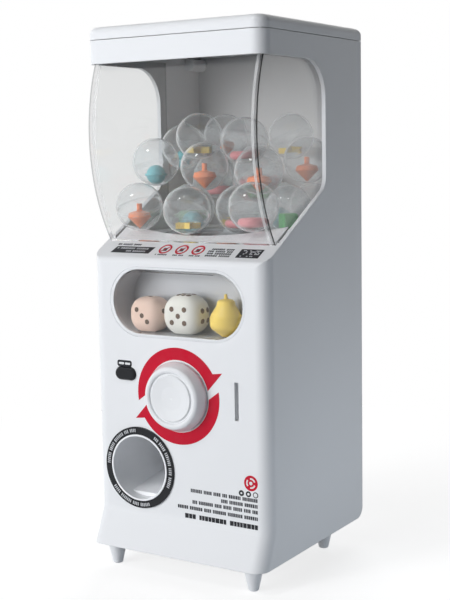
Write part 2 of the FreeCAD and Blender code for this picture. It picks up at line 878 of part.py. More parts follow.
tooth_pitch = math.pi * sheet.get("tooth_module")
face_width = sheet.get("gear_face")
root_half = tooth_pitch * 0.25
tip_half = tooth_pitch * 0.1
crown_tip = mesh_z.number - addendum.number
pinion_low = pinion_radius.number - root_depth.number
pinion_high = pinion_radius.number + addendum.number
crown_shape = Part.makeCylinder(crown_outer.number, 3.0, Vector(0, 0, crown_root.number))
crown_shape = crown_shape.fuse(Part.makeCylinder(6.0, 6.5, Vector(0, 0, crown_root.number)))
crown_near = crown_radius.number - face_width / 2
for step in range(int(sheet.get("crown_teeth"))):
    points = [
        Vector(-root_half, crown_near, crown_root.number + 0.2),
        Vector(root_half, crown_near, crown_root.number + 0.2),
        Vector(tip_half, crown_near, crown_tip),
        Vector(-tip_half, crown_near, crown_tip),
    ]
    tooth = tooth_prism(points, Vector(0, face_width, 0))
    turn = 180 + (step + 0.5) * 360 / sheet.get("crown_teeth")
    tooth.rotate(Vector(), Vector(0, 0, 1), turn)
    crown_shape = crown_shape.fuse(tooth)
crown_room = Part.makeCylinder(crown_outer.number, 40, Vector(0, 0, crown_root.number - 20))
crown_shape = crown_shape.common(crown_room)
bore = Part.makeCylinder(wheel_shaft_radius.number + sheet.get("running_gap"), 40,
                         Vector(0, 0, crown_root.number - 20))
crown_gear = doc.addObject("Part::Feature", "crown_gear_form")
crown_gear.Shape = crown_shape.cut(bore).removeSplitter()
place(crown_gear, 0, wheel_y, 0)
finish("crown_gear", crown_gear)

pinion_shape = Part.makeCylinder(pinion_low, face_width, Vector(), Vector(0, 1, 0))
for step in range(int(sheet.get("pinion_teeth"))):
    points = [
        Vector(-root_half, 0, pinion_low - 0.4),
        Vector(root_half, 0, pinion_low - 0.4),
        Vector(tip_half, 0, pinion_high),
        Vector(-tip_half, 0, pinion_high),
    ]
    tooth = tooth_prism(points, Vector(0, face_width, 0))
    tooth.rotate(Vector(), Vector(0, 1, 0), step * 360 / sheet.get("pinion_teeth"))
    pinion_shape = pinion_shape.fuse(tooth)
bore = Part.makeCylinder(hub.number, 40, Vector(0, -20, 0), Vector(0, 1, 0))
drive_pinion = doc.addObject("Part::Feature", "drive_pinion_form")
drive_pinion.Shape = pinion_shape.cut(bore).removeSplitter()
place(drive_pinion, 0, pinion_y - size("gear_face") / 2, knob_z)
finish("drive_pinion", drive_pinion)

# Bracket that carries the foot of the wheel shaft and the end of the knob shaft
web_x = crown_outer + 3
web_y = pinion_y - 9
web_low = knob_z - 8
bracket = fuse(
    block(web_x, web_y, web_low, size("bracket_wall"), 30, deck_low - web_low),
    block(web_x, web_y, deck_low - 3, 24, 30, 3),
    block(-7, wheel_y - 8, arm_z, web_x + 7 + 1, 16, 4),
    block(-6, web_y, web_low, web_x + 6 + 1, 4, 16),
)
finish("gear_bracket", cut(
    bracket,
    rod("z", 0, wheel_y, arm_z - 1, wheel_shaft_radius + size("running_gap"), 6),
    rod("y", 0, web_y - 1, knob_z, hub, 6),
))

# Outlet: ring, cup, ramp and the tube that drops into it
ring_y = front - size("outlet_ring_height")
finish("outlet_ring", cut(
    rod("y", outlet_x, ring_y, outlet_z, size("outlet_ring_radius"), size("outlet_ring_height")),
    rod("y", outlet_x, ring_y - 1, outlet_z, cup_outer + size("running_gap"), size("outlet_ring_height") + 2),
))
cup_back = wheel_y + drop_outer + 4
drop_bore = rod("z", drop_x, wheel_y, outlet_z, drop_outer + fit, 40)
cup_tube = cut(
    rod("y", outlet_x, ring_y - 0.4, outlet_z, cup_outer, cup_back - ring_y + 0.4),
    rod("y", outlet_x, ring_y - 2, outlet_z, cup_inner, cup_back - ring_y + 2 - size("cup_wall")),
)
finish("outlet_cup", cut(cup_tube, drop_bore))
ramp = new_body("ramp")
ramp_low = outlet_z - cup_inner
ramp_back = cup_back - size("cup_wall") - fit
pad(ramp, outline(ramp, "yz", [
    (front + 6, ramp_low - 1),
    (ramp_back, ramp_low - 1),
    (ramp_back, ramp_low + 3 + size("ramp_rise")),
    (front + 6, ramp_low + 3),
]), cup_outer * 2)
place(ramp, outlet_x, 0, 0)
ramp_room = rod("y", outlet_x, front, outlet_z, cup_inner - size("running_gap"), cup_back - front)
finish("exit_ramp", overlap(ramp, ramp_room))
cup_room = rod("y", outlet_x, ring_y - 5, outlet_z, cup_outer + fit, cup_back - ring_y + 10)
finish("drop_chute", cut(
    rod("z", drop_x, wheel_y, outlet_z, drop_outer, deck_low - outlet_z),
    rod("z", drop_x, wheel_y, outlet_z - 1, drop_inner, deck_low - outlet_z + 2),
    cup_room,
))

# Return button with its guide and spring
button_y = front - size("button_reach")
flange_y = panel_face + fit
flange_end = flange_y + size("button_flange")
cap = pill(button_x, button_y, button_z, size("button_width"), size("button_tall"), flange_y - button_y + 0.2)
cap_round = rounded(cap, 1.6, lambda edge, at: near(at.y, button_y))
finish("return_button", fuse(
    cap_round,
    pill(button_x, flange_y, button_z, size("button_width") + 4, size("button_tall") + 4,
         size("button_flange")),
    rod("y", button_x, flange_end - 0.2, button_z, size("spring_radius") - size("spring_wire"), 3),
))
guide_wide = size("button_width") + 5 + size("guide_wall") * 2
guide_tall = size("button_tall") + 5 + size("guide_wall") * 2
finish("button_guide", cut(
    block(button_x - guide_wide / 2, panel_face, button_z - guide_tall / 2,
          guide_wide, size("guide_depth"), guide_tall),
    block(button_x - guide_wide / 2 + size("guide_wall"), panel_face - 1,
          button_z - guide_tall / 2 + size("guide_wall"), guide_wide - size("guide_wall") * 2,
          size("guide_depth") - size("guide_wall") + 1, guide_tall - size("guide_wall") * 2),
))
spring_start = flange_end + size("spring_wire") / 2 + 0.1
spring_end = panel_face + size("guide_depth") - size("guide_wall") - size("spring_wire") / 2 - 0.1
spring_turns = 5
helix = Part.makeHelix((spring_end.number - spring_start.number) / spring_turns,
                       spring_end.number - spring_start.number, sheet.get("spring_radius"))
wire_at = Part.makeCircle(sheet.get("spring_wire") / 2, Vector(sheet.get("spring_radius"), 0, 0),
                          Vector(0, 1, 0))
coil = Part.Wire(helix).makePipeShell([Part.Wire(wire_at)], True, True)
button_spring = doc.addObject("Part::Feature", "button_spring_form")
button_spring.Shape = coil
button_spring.Placement = FreeCAD.Placement(Vector(), AXIS_TURN["y"])
place(button_spring, button_x, spring_start, button_z)
finish("button_spring", button_spring)

# Coin way: slot plate, chute, lever and drawer
finish("slot_plate", cut(
    block(slot_x - 7, panel_face, slot_z - size("slot_tall") / 2 - 4, 14, size("slot_plate_wall"),
          size("slot_tall") + 8),
    block(slot_x - size("slot_width") / 2 + 0.4, panel_face - 1, slot_z - size("slot_tall") / 2 + 0.4,
          size("slot_width") - 0.8, size("slot_plate_wall") + 2, size("slot_tall") - 0.8),
))
chute = new_body("chute")
chute_front = panel_face + size("slot_plate_wall") + fit
chute_back = chute_front + size("slot_tall") + 4
chute_top = slot_z + size("slot_tall") / 2 + 3
chute_knee = slot_z - size("slot_tall") / 2 - 3
chute_low = drawer_top + 2
chute_shift = 32
skin = size("chute_wall")
pad(chute, outline(chute, "yz", [
    (chute_front, chute_knee),
    (chute_front + chute_shift, chute_low),
    (chute_back + chute_shift, chute_low),
    (chute_back, chute_knee),
    (chute_back, chute_top),
    (chute_front, chute_top),
]), size("chute_gap") + skin * 2)
pocket(chute, outline(chute, "yz", [
    (chute_front + skin, chute_knee),
    (chute_front + chute_shift + skin, chute_low - 1),
    (chute_back + chute_shift - skin, chute_low - 1),
    (chute_back - skin, chute_knee),
    (chute_back - skin, chute_top - skin),
    (chute_front + skin, chute_top - skin),
]), size("chute_gap"))
place(chute, slot_x, 0, 0)
finish("coin_chute", cut(
    chute,
    block(slot_x - size("chute_gap") / 2, chute_front - 1, slot_z - size("slot_tall") / 2,
          size("chute_gap"), skin + 2, size("slot_tall")),
))
lever_x = 26.0
lever_z = knob_z + 25
lever = new_body("lever")
pad(lever, outline(lever, "xz", [
    (-18, -13.5),
    (-15, -14.5),
    (-9, -5),
    (0, -5),
    (15, -6),
    (15.5, -2),
    (4, 5),
    (-6, 5),
]), size("lever_thick"))
place(lever, lever_x, lock_y + size("lock_disc_width") / 2, lever_z)
pin_radius = size("lever_pin_radius")
lever_back = lock_y + size("lock_disc_width") + 2
finish("coin_lever", cut(
    lever,
    rod("y", lever_x, lock_y - 10, lever_z, pin_radius + size("running_gap"), 30),
))
finish("lever_pin", fuse(
    rod("y", lever_x, panel_face, lever_z, pin_radius, lever_back - panel_face),
    rod("y", lever_x, panel_face, lever_z, pin_radius + 2.5, lock_y - panel_face - 0.8),
    rod("y", lever_x, lever_back - 1, lever_z, pin_radius + 1.2, 1),
))
drawer_wall = size("drawer_wall")
drawer_front = back - size("drawer_length")
finish("coin_drawer", cut(
    block(drawer_x, drawer_front, drawer_low, drawer_width, size("drawer_length"), size("drawer_tall")),
    block(drawer_x + drawer_wall, drawer_front + drawer_wall, drawer_low + drawer_wall,
          drawer_width - drawer_wall * 2, size("drawer_length") - drawer_wall * 2, size("drawer_tall")),
    pill(drawer_x + drawer_width / 2, back - drawer_wall - 1, drawer_low + size("drawer_tall") * 0.62,
         24, 10, drawer_wall + 2),
))

# Display window, its tray and three toys
cover_y = front - size("display_bulge")
cover_flange = rounded(
    pill(0, cover_y, display_z, size("display_width"), size("display_tall"), size("display_bulge")),
    1.8, lambda edge, at: near(at.y, cover_y),
)
plug_wide = display_hole_wide - fit * 2
plug_tall = display_hole_tall - fit * 2
cover_wall = 1.4
finish("display_window", cut(
    fuse(cover_flange, pill(0, front - 0.2, display_z, plug_wide, plug_tall, size("wall"))),
    pill(0, cover_y + cover_wall, display_z, plug_wide - cover_wall * 2, plug_tall - cover_wall * 2,
         size("display_bulge") + size("wall")),
))
tub_wall = 1.5
finish("display_tray", cut(
    pill(0, panel_face, display_z, display_hole_wide + tub_wall * 2, display_hole_tall + tub_wall * 2,
         size("display_depth")),
    pill(0, panel_face - 1, display_z, display_hole_wide, display_hole_tall,
         size("display_depth") - tub_wall + 1),
))
toy_y = panel_face + 7.6
toy_floor = display_z - display_hole_tall / 2


def soft_block(label, x, wide, tall, deep, corner, edge, lift):
    """Puffy block toy that rests on the tray."""
    body = new_body(label)
    half = wide / 2
    form = pad(body, outline(body, "xz", [
        (-half, 0, corner),
        (half, 0, corner),
        (half, tall, corner),
        (-half, tall, corner),
    ]), deep)
    body_round(body, form, edge, lambda rim, at: near(abs(at.y), deep / 2))
    place(body, x, toy_y, toy_floor + lift)
    finish(label, body)


soft_block("display_toy_left", -28.5, 26, 24, 21, 10.5, 8, 0.45)
soft_block("display_toy_middle", 1.2, 30, 27, 21, 12, 8.5, 0.3)
pear = new_body("pear")
spin(pear, outline(pear, "xz", [
    (0, 0),
    (3, 0, 1),
    (10.8, 6, 5),
    (10.8, 13.5, 6),
    (6.2, 20.5, 5),
    (5.6, 24, 2.5),
    (1.2, 25),
    (1.0, 28, 0.5),
    (0, 28),
]), "Z_Axis")
place(pear, 32.5, toy_y, toy_floor + 1)
finish("display_toy_right", pear)


def star_corners(outer, depth_ratio):
    """Corners of a five-pointed star standing on two points."""
    corners = []
    for step in range(10):
        radius = outer if step % 2 == 0 else outer * depth_ratio
        angle = math.radians(90 + step * 36)
        corners.append((radius * math.cos(angle), radius * math.sin(angle), 0.8))
    return corners


# Capsules: two clear halves and a small toy in each
capsule_radius = sheet.get("capsule_radius")
capsule_wall = sheet.get("capsule_wall")
capsule_gap = sheet.get("capsule_gap")
up = Vector(0, 0, 1)


def dome_shape():
    shell = Part.makeSphere(capsule_radius, Vector(), up, 0, 90, 360)
    hollow = Part.makeSphere(capsule_radius - capsule_wall, Vector(), up)
    return shell.cut(hollow)


def cup_shape():
    shell = Part.makeSphere(capsule_radius, Vector(), up, -90, 0, 360)
    hollow = Part.makeSphere(capsule_radius - capsule_wall, Vector(), up)
    lip_outer = capsule_radius - capsule_wall - 0.15
    lip = Part.makeCylinder(lip_outer - 0.1, 2.6, Vector(0, 0, -1.5))
    lip = lip.cut(Part.makeCylinder(lip_outer - capsule_wall, 6, Vector(0, 0, -3)))
    seat = Part.makeSphere(lip_outer, Vector(), up)
    shell = shell.cut(hollow)
    shell.translate(Vector(0, 0, -0.1))
    bridge = Part.makeCylinder(capsule_radius - 0.3, 0.9, Vector(0, 0, -2.2))
    bridge = bridge.cut(Part.makeCylinder(lip_outer - capsule_wall, 6, Vector(0, 0, -3)))
    return shell.fuse(bridge).fuse(lip.common(seat)).removeSplitter()


def ring_toy():
    return Part.makeTorus(7.0, 3.0, Vector(0, 0, -10.0))


def ball_toy():
    ball = Part.makeSphere(6.6, Vector(0, 0, -8.6))
    band = Part.makeTorus(6.6, 1.0, Vector(0, 0, -8.6))
    return ball.fuse(band)


def top_shape():
    points = [Vector(0, 0, -15.2), Vector(8, 0, -7.2), Vector(7, 0, -4.2), Vector(1.8, 0, -2.7),
              Vector(1.8, 0, 2), Vector(0, 0, 2), Vector(0, 0, -15.2)]
    return Part.Face(Part.makePolygon(points)).revolve(Vector(), up, 360)


def star_toy():
    points = [Vector(corner[0], corner[1], -12.2) for corner in star_corners(9.0, 0.5)]
    return Part.Face(Part.makePolygon(points + points[:1])).extrude(Vector(0, 0, 4))


def dice_toy():
    cube = Part.makeBox(11, 11, 11, Vector(-5.5, -5.5, -14.1))
    return cube.makeFillet(1.8, cube.Edges)


TOYS = {"orange": top_shape, "pink": ring_toy, "yellow": star_toy, "green": dice_toy, "teal": ball_toy}


def rest_height(x, y, placed):
    """Lowest height at which a capsule at x, y rests on the floor, the lip or the ones below."""
    reach = capsule_radius + capsule_gap
    angle = math.radians(sheet.get("ledge_angle"))
    height = floor_z.number + reach
    edge_y = lip_y.number + sheet.get("lip_radius") - math.sqrt(sheet.get("lip_radius") ** 2 - x * x)
    if y + reach * math.sin(angle) <= edge_y:
        height = max(height, slope(Size(y, "")).number + reach / math.cos(angle))
    elif abs(y - edge_y) < reach:
        height = max(height, slope(Size(edge_y, "")).number + math.sqrt(reach**2 - (y - edge_y) ** 2))
    span = capsule_radius * 2 + capsule_gap
    for other in placed:
        apart = math.hypot(x - other.x, y - other.y)
        if apart < span:
            height = max(height, other.z + math.sqrt(span**2 - apart**2))
    return height


# Where each capsule is dropped in, as shares of the free half width and of the free depth,
# with its toy, its tilt and its heading
DROPS = [
    (-1.000, 0.000, "orange", 20, 0), (-0.169, 0.011, "yellow", 28, 80), (0.907, 0.033, "pink", 15, 200),
    (0.992, 0.467, "green", 30, 140), (-0.570, 0.389, "teal", 25, 300), (0.295, 0.367, "pink", 30, 30),
    (-0.992, 0.711, "green", 10, 250), (0.992, 0.856, "orange", 30, 110), (-0.422, 0.967, "yellow", 20, 60),
    (0.306, 0.989, "teal", 25, 10), (-0.063, 0.178, "orange", 25, 170), (-0.865, 0.133, "teal", 15, 320),
    (0.970, 0.789, "orange", 30, 220), (-0.464, 0.689, "pink", 25, 90), (-0.422, 0.400, "yellow", 30, 45),
    (0.243, 0.672, "green", 20, 130), (-0.960, 0.989, "yellow", 25, 15), (0.717, 0.289, "orange", 20, 280),
    (-0.074, 0.989, "pink", 30, 70), (-0.992, 0.622, "teal", 15, 240), (0.274, 0.472, "pink", 25, 190),
    (0.496, 0.989, "yellow", 20, 330), (-0.612, 0.939, "orange", 25, 100),
]
pile_half = (canopy_half - size("canopy_wall") - size("capsule_radius") - size("pile_side_gap")).number
pile_front = (front + size("pile_setback")).number
pile_back = (panel_y - size("capsule_radius") - size("pile_side_gap")).number


def turned(shape, tilt, heading, at):
    copy = shape.copy()
    copy.rotate(Vector(), Vector(1, 0, 0), tilt)
    copy.rotate(Vector(), up, heading)
    copy.translate(at)
    return copy


dome = dome_shape()
cup = cup_shape()
toy_forms = {colour: make() for colour, make in TOYS.items()}
placed = []
domes = []
cups = []
toys = {colour: [] for colour in TOYS}
for across, along, colour, tilt, heading in DROPS:
    x = pile_half * across
    y = pile_front + (pile_back - pile_front) * along
    at = Vector(x, y, rest_height(x, y, placed))
    placed.append(at)
    domes.append(turned(dome, tilt, heading, at))
    cups.append(turned(cup, tilt, heading, at))
    toys[colour].append(turned(toy_forms[colour], 0, heading, at))
group("capsule_domes", domes)
group("capsule_cups", cups)
for colour, shapes in toys.items():
    group(f"capsule_toys_{colour}", shapes)

pocket_domes = []
pocket_cups = []
pocket_toys = []
capsule_level = wheel_low.number + capsule_radius + 0.4
for step_x, step_y in pocket_spots:
    if number_of(step_x) < 0:
        continue
    at = Vector(number_of(step_x), wheel_y.number + number_of(step_y), capsule_level)
    pocket_domes.append(turned(dome, 0, 0, at))
    pocket_cups.append(turned(cup, 0, 0, at))
    pocket_toys.append(turned(toy_forms["green"], 0, 0, at))
group("pocket_domes", pocket_domes)
group("pocket_cups", pocket_cups)
group("pocket_toys", pocket_toys)

# Check and write the pieces
doc.recompute()
for item in doc.Objects:
    if "Invalid" in item.State or "Error" in item.State:
        raise RuntimeError(f"{item.Label} did not build")
os.makedirs("parts", exist_ok=True)
for label, item in NODES.items():
    if item.Shape.isNull() or not item.Shape.isValid():
        raise RuntimeError(f"{label} has no sound shape")
    item.Shape.exportStep(f"parts/{label}.step")
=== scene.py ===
import json
import math
import random

import bpy
from mathutils import Matrix, Vector
from mathutils.bvhtree import BVHTree


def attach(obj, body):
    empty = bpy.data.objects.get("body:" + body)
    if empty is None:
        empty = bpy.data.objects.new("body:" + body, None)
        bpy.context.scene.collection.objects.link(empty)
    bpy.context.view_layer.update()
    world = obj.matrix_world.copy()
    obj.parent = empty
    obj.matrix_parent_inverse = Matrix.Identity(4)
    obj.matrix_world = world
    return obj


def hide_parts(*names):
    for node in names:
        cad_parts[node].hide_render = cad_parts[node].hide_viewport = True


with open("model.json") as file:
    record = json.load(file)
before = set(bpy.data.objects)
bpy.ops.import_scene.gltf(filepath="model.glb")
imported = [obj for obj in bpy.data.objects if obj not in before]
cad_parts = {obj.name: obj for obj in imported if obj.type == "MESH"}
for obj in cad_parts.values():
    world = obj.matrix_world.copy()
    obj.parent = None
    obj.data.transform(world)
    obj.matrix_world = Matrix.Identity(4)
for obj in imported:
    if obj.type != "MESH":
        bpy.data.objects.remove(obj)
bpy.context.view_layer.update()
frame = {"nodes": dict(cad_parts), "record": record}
nodes = frame["nodes"]
random.seed(7)

MM = 0.001

# Places on the machine, in millimetres, as the solids have them
FRONT = -62.75
LEDGE_Z = 216.4
LEDGE_ANGLE = math.radians(29.3)
LEDGE_RISE = math.tan(LEDGE_ANGLE)
KNOB_Z = 125.1
OUTLET = (-33.0, 72.1)
OUTLET_RING_HEIGHT = 1.2

# Places in metres, for the materials that read a position
CABINET_MIDDLE = (0.0, 0.0, 0.19)
CANOPY_HALF = 0.0667

# How far a printed mark stands off its surface, and how thick it is, in millimetres
OFF_FRONT = 0.02
OFF_LEDGE = 0.03
ARROW_INK = 0.12
SIGN_INK = 0.14
PANEL_INK = 0.1
PRINT_INK = 0.08
BADGE_MARK_INK = 0.06
OVER_INK = 0.05

# The range that most of a noise texture's values lie in
NOISE_LOW = 0.3
NOISE_HIGH = 0.7


# Node materials
def new_material(name):
    material = bpy.data.materials.new(name)
    material.use_nodes = True
    tree = material.node_tree
    shader = tree.nodes["Principled BSDF"]
    return material, tree, shader


def noise(tree, scale, detail=3.0, rough=0.5):
    coords = tree.nodes.new("ShaderNodeTexCoord")
    texture = tree.nodes.new("ShaderNodeTexNoise")
    texture.inputs["Scale"].default_value = scale
    texture.inputs["Detail"].default_value = detail
    texture.inputs["Roughness"].default_value = rough
    tree.links.new(coords.outputs["Object"], texture.inputs["Vector"])
    return texture.outputs["Fac"]


def ramp(tree, value, start, end, low, high):
    """Runs from low to high while the value runs from start to end."""
    reach = tree.nodes.new("ShaderNodeMapRange")
    reach.inputs["From Min"].default_value = start
    reach.inputs["From Max"].default_value = end
    reach.inputs["To Min"].default_value = low
    reach.inputs["To Max"].default_value = high
    tree.links.new(value, reach.inputs["Value"])
    return reach.outputs["Result"]


def colour_ramp(tree, value, stops):
    """Runs through the stops, each a value and its colour."""
    shade = tree.nodes.new("ShaderNodeValToRGB")
    elements = shade.color_ramp.elements
    for element, (position, colour) in zip(elements, (stops[0], stops[-1])):
        element.position = position
        element.color = (*colour, 1)
    for position, colour in stops[1:-1]:
        elements.new(position).color = (*colour, 1)
    tree.links.new(value, shade.inputs["Fac"])
    return shade.outputs["Color"]


def combine(tree, operation, first, second):
    result = tree.nodes.new("ShaderNodeMath")
    result.operation = operation
    tree.links.new(first, result.inputs[0])
    tree.links.new(second, result.inputs[1])
    return result.outputs["Value"]


def blend(tree, factor, first, second):
    """Goes from the first colour to the second as the factor goes from 0 to 1."""
    mixed = tree.nodes.new("ShaderNodeMix")
    mixed.data_type = "RGBA"
    tree.links.new(factor, mixed.inputs["Factor"])
    tree.links.new(first, mixed.inputs[6])
    tree.links.new(second, mixed.inputs[7])
    return mixed.outputs[2]


def spread(tree, source, low, high):
    return ramp(tree, source, NOISE_LOW, NOISE_HIGH, low, high)


def tint(tree, source, low, high):
    return colour_ramp(tree, source, ((NOISE_LOW, low), (NOISE_HIGH, high)))


def bump(tree, shader, source, strength, distance, edge=0.0006):
    """Slight relief over edges that are softly rounded."""
    soft = tree.nodes.new("ShaderNodeBevel")
    soft.samples = 4
    soft.inputs["Radius"].default_value = edge
    relief = tree.nodes.new("ShaderNodeBump")
    tree.links.new(soft.outputs["Normal"], relief.inputs["Normal"])
    relief.inputs["Strength"].default_value = strength
    relief.inputs["Distance"].default_value = distance
    tree.links.new(source, relief.inputs["Height"])
    tree.links.new(relief.outputs["Normal"], shader.inputs["Normal"])


def inside_shade_mask(tree):
    """1 on faces that look into the cabinet, 0 on its outside; it masks the painted shade on the cabinet's
    inside.
    """
    inward_from = -0.03
    inward_full = -0.05
    place = tree.nodes.new("ShaderNodeNewGeometry")
    arm = tree.nodes.new("ShaderNodeVectorMath")
    arm.operation = "SUBTRACT"
    arm.inputs[1].default_value = CABINET_MIDDLE
    tree.links.new(place.outputs["Position"], arm.inputs[0])
    along = tree.nodes.new("ShaderNodeVectorMath")
    along.operation = "DOT_PRODUCT"
    tree.links.new(arm.outputs["Vector"], along.inputs[0])
    tree.links.new(place.outputs["Normal"], along.inputs[1])
    return ramp(tree, along.outputs["Value"], inward_from, inward_full, 0.0, 1.0)


def moulded(name, colour, roughness=0.3, mottle=0.03, coat=0.0, painted_inside_shade=None, gloss_level=0.5):
    """Moulded plastic: faint mottling, uneven gloss and a slight waviness. Given an inside colour, faces
    that look into the cabinet take it as painted shade.
    """
    material, tree, shader = new_material(name)
    cloud = noise(tree, 22.0)
    dark = tuple(max(0.0, channel * (1 - mottle)) for channel in colour)
    skin = tint(tree, cloud, dark, colour)
    # Painted shade: faces that look into the cabinet take the darker inside colour.
    if painted_inside_shade:
        painted_inside_shade_dark = tuple(channel * 0.96 for channel in painted_inside_shade)
        skin = blend(tree, inside_shade_mask(tree), skin, tint(tree, cloud, painted_inside_shade_dark, painted_inside_shade))
    tree.links.new(skin, shader.inputs["Base Color"])
    handling = noise(tree, 45.0, 4.0, 0.5)
    gloss = spread(tree, handling, roughness * 0.95, roughness * 1.06)
    tree.links.new(gloss, shader.inputs["Roughness"])
    bump(tree, shader, noise(tree, 130.0, 2.0), 0.05, 0.00004)
    shader.inputs["Coat Weight"].default_value = coat
    shader.inputs["Coat Roughness"].default_value = 0.08
    shader.inputs["Specular IOR Level"].default_value = gloss_level
    return material


def clear(name, colour, ior, coat, coat_ior):
    """Clear plastic: a glossy skin and faint handling haze."""
    material, tree, shader = new_material(name)
    shader.inputs["Base Color"].default_value = (*colour, 1)
    shader.inputs["Transmission Weight"].default_value = 1.0
    shader.inputs["IOR"].default_value = ior
    shader.inputs["Coat Weight"].default_value = coat
    shader.inputs["Coat Roughness"].default_value = 0.04
    shader.inputs["Coat IOR"].default_value = coat_ior
    smear = noise(tree, 38.0, 4.0, 0.6)
    tree.links.new(spread(tree, smear, 0.0, 0.02), shader.inputs["Roughness"])
    return material, tree, shader


def size_of(tree, vector, axis):
    """How far a vector reaches along one axis, either way."""
    parts = tree.nodes.new("ShaderNodeSeparateXYZ")
    tree.links.new(vector, parts.inputs["Vector"])
    amount = tree.nodes.new("ShaderNodeMath")
    amount.operation = "ABSOLUTE"
    tree.links.new(parts.outputs[axis], amount.inputs[0])
    return amount.outputs["Value"]


def clear_sheet(name, colour, painted_side_shade, painted_fold_band, painted_edge_shade, ior):
    """Bent clear sheet: side panes darker as painted shade, and at each fold a painted highlight line that
    lets less light through, then a grey band and a dark edge of painted shade.
    """
    fold_reach = 0.006
    clear_level = (1.0, 1.0, 1.0)
    painted_highlight_level = (0.55, 0.55, 0.55)
    material, tree, shader = clear(name, colour, ior, 0.8, 1.5)
    place = tree.nodes.new("ShaderNodeNewGeometry")
    sideways = size_of(tree, place.outputs["Normal"], "X")
    across = size_of(tree, place.outputs["Position"], "X")
    front = ramp(tree, sideways, 0.5, 0.9, 1.0, 0.0)
    to_fold = ramp(tree, across, CANOPY_HALF - fold_reach, CANOPY_HALF, 0.0, 1.0)
    # Painted shade: a grey band and a dark edge at each fold.
    edge = colour_ramp(tree, to_fold, (
        (0.26, colour),
        (0.36, painted_fold_band),
        (0.72, painted_fold_band),
        (0.9, painted_edge_shade),
    ))
    # Painted shade: the side panes take the darker colour.
    pane = tree.nodes.new("ShaderNodeMix")
    pane.data_type = "RGBA"
    pane.inputs[6].default_value = (*painted_side_shade, 1)
    tree.links.new(front, pane.inputs["Factor"])
    tree.links.new(edge, pane.inputs[7])
    tree.links.new(pane.outputs[2], shader.inputs["Base Color"])
    # Painted highlight: a thin line at each fold lets less light through, so that it shows lighter.
    fold_highlight = colour_ramp(tree, combine(tree, "MULTIPLY", to_fold, front), (
        (0.22, clear_level),
        (0.27, painted_highlight_level),
        (0.37, painted_highlight_level),
        (0.42, clear_level),
    ))
    tree.links.new(fold_highlight, shader.inputs["Transmission Weight"])
    return material


def rim_of(tree):
    """0 where a face is seen straight on, 1 at its outline."""
    weight = tree.nodes.new("ShaderNodeLayerWeight")
    weight.inputs["Blend"].default_value = 0.5
    return weight.outputs["Facing"]


def rim_highlight_shell(name, colour, face, rim, coat, coat_ior):
    """Thin clear shell that lets less light through at its rim, so that the rim shows whiter as a painted
    highlight.
    """
    material, tree, shader = clear(name, colour, 1.02, coat, coat_ior)
    tree.links.new(ramp(tree, rim_of(tree), 0.45, 1.0, face, rim), shader.inputs["Transmission Weight"])
    return material


def dark_edged_shell(name, colour, painted_edge_shade, through, coat, coat_ior):
    """Thin clear shell whose colour is darker at its rim, as painted shade."""
    material, tree, shader = clear(name, colour, 1.02, coat, coat_ior)
    shader.inputs["Transmission Weight"].default_value = through
    shade = colour_ramp(tree, rim_of(tree), ((0.45, colour), (0.95, painted_edge_shade)))
    tree.links.new(shade, shader.inputs["Base Color"])
    return material


def metal(name, colour, roughness):
    """Bright metal with fine grain in its colour and gloss."""
    material, tree, shader = new_material(name)
    shader.inputs["Metallic"].default_value = 1.0
    cloud = noise(tree, 300.0, 4.0)
    dark = tuple(channel * 0.8 for channel in colour)
    tree.links.new(tint(tree, cloud, dark, colour), shader.inputs["Base Color"])
    gloss = spread(tree, noise(tree, 500.0, 5.0), roughness * 0.7, roughness * 1.4)
    tree.links.new(gloss, shader.inputs["Roughness"])
    bump(tree, shader, noise(tree, 2500.0, 2.0), 0.2, 0.00004)
    return material


def printed(name, colour):
    """Screen-printed ink: flat colour with slight wear in its gloss."""
    material, tree, shader = new_material(name)
    cloud = noise(tree, 150.0, 4.0)
    worn = tuple(min(1.0, channel * 0.93 + 0.01) for channel in colour)
    tree.links.new(tint(tree, cloud, worn, colour), shader.inputs["Base Color"])
    gloss = spread(tree, noise(tree, 90.0, 3.0), 0.4, 0.55)
    tree.links.new(gloss, shader.inputs["Roughness"])
    shader.inputs["Specular IOR Level"].default_value = 0.2
    return material


# Painted shade: inside the cabinet the white plastic is a little darker, and on the back panel's inside
# much darker.
WHITE = moulded("white_plastic", (0.80, 0.81, 0.83), 0.3, 0.006, painted_inside_shade=(0.78, 0.78, 0.785))
BACK_SHADED_INSIDE = moulded("back_plastic", (0.80, 0.81, 0.83), 0.3, 0.006, painted_inside_shade=(0.58, 0.58, 0.584))
KNOB = moulded("knob_plastic", (0.81, 0.82, 0.84), 0.24, 0.006, coat=0.2)
GREY = moulded("grey_plastic", (0.60, 0.61, 0.63), 0.42, 0.04)
# Painted shade: the display tray is grey for the shade in its recess behind the window.
SHADED_TRAY = moulded("tray_plastic", (0.57, 0.58, 0.60), 0.35, 0.03)
# Painted light: the outlet cup, exit ramp, slot plate and coin chute are lighter than the white plastic, to
# lift the shade in their recesses.
LIGHTENED_RECESS = moulded("cup_plastic", (0.91, 0.92, 0.94), 0.4, 0.02)
BLACK = moulded("black_plastic", (0.009, 0.010, 0.013), 0.3, 0.2, gloss_level=0.3)
WHEEL = moulded("wheel_plastic", (0.45, 0.47, 0.49), 0.45, 0.06)
BUSH = moulded("bush_plastic", (0.66, 0.64, 0.56), 0.5, 0.05)
STEEL = metal("steel", (0.52, 0.52, 0.53), 0.3)
# Painted shade on the side panes and at the folds, and a painted highlight line at each fold.
CANOPY = clear_sheet(
    "clear_plastic",
    colour=(0.96, 0.965, 0.965),
    painted_side_shade=(0.83, 0.835, 0.835),
    painted_fold_band=(0.86, 0.865, 0.87),
    painted_edge_shade=(0.42, 0.43, 0.44),
    ior=1.14,
)
# Painted highlight: the capsule rims show whiter.
CAPSULE = rim_highlight_shell("capsule_clear", (0.89, 0.91, 0.92), face=0.97, rim=0.2, coat=0.8, coat_ior=1.8)
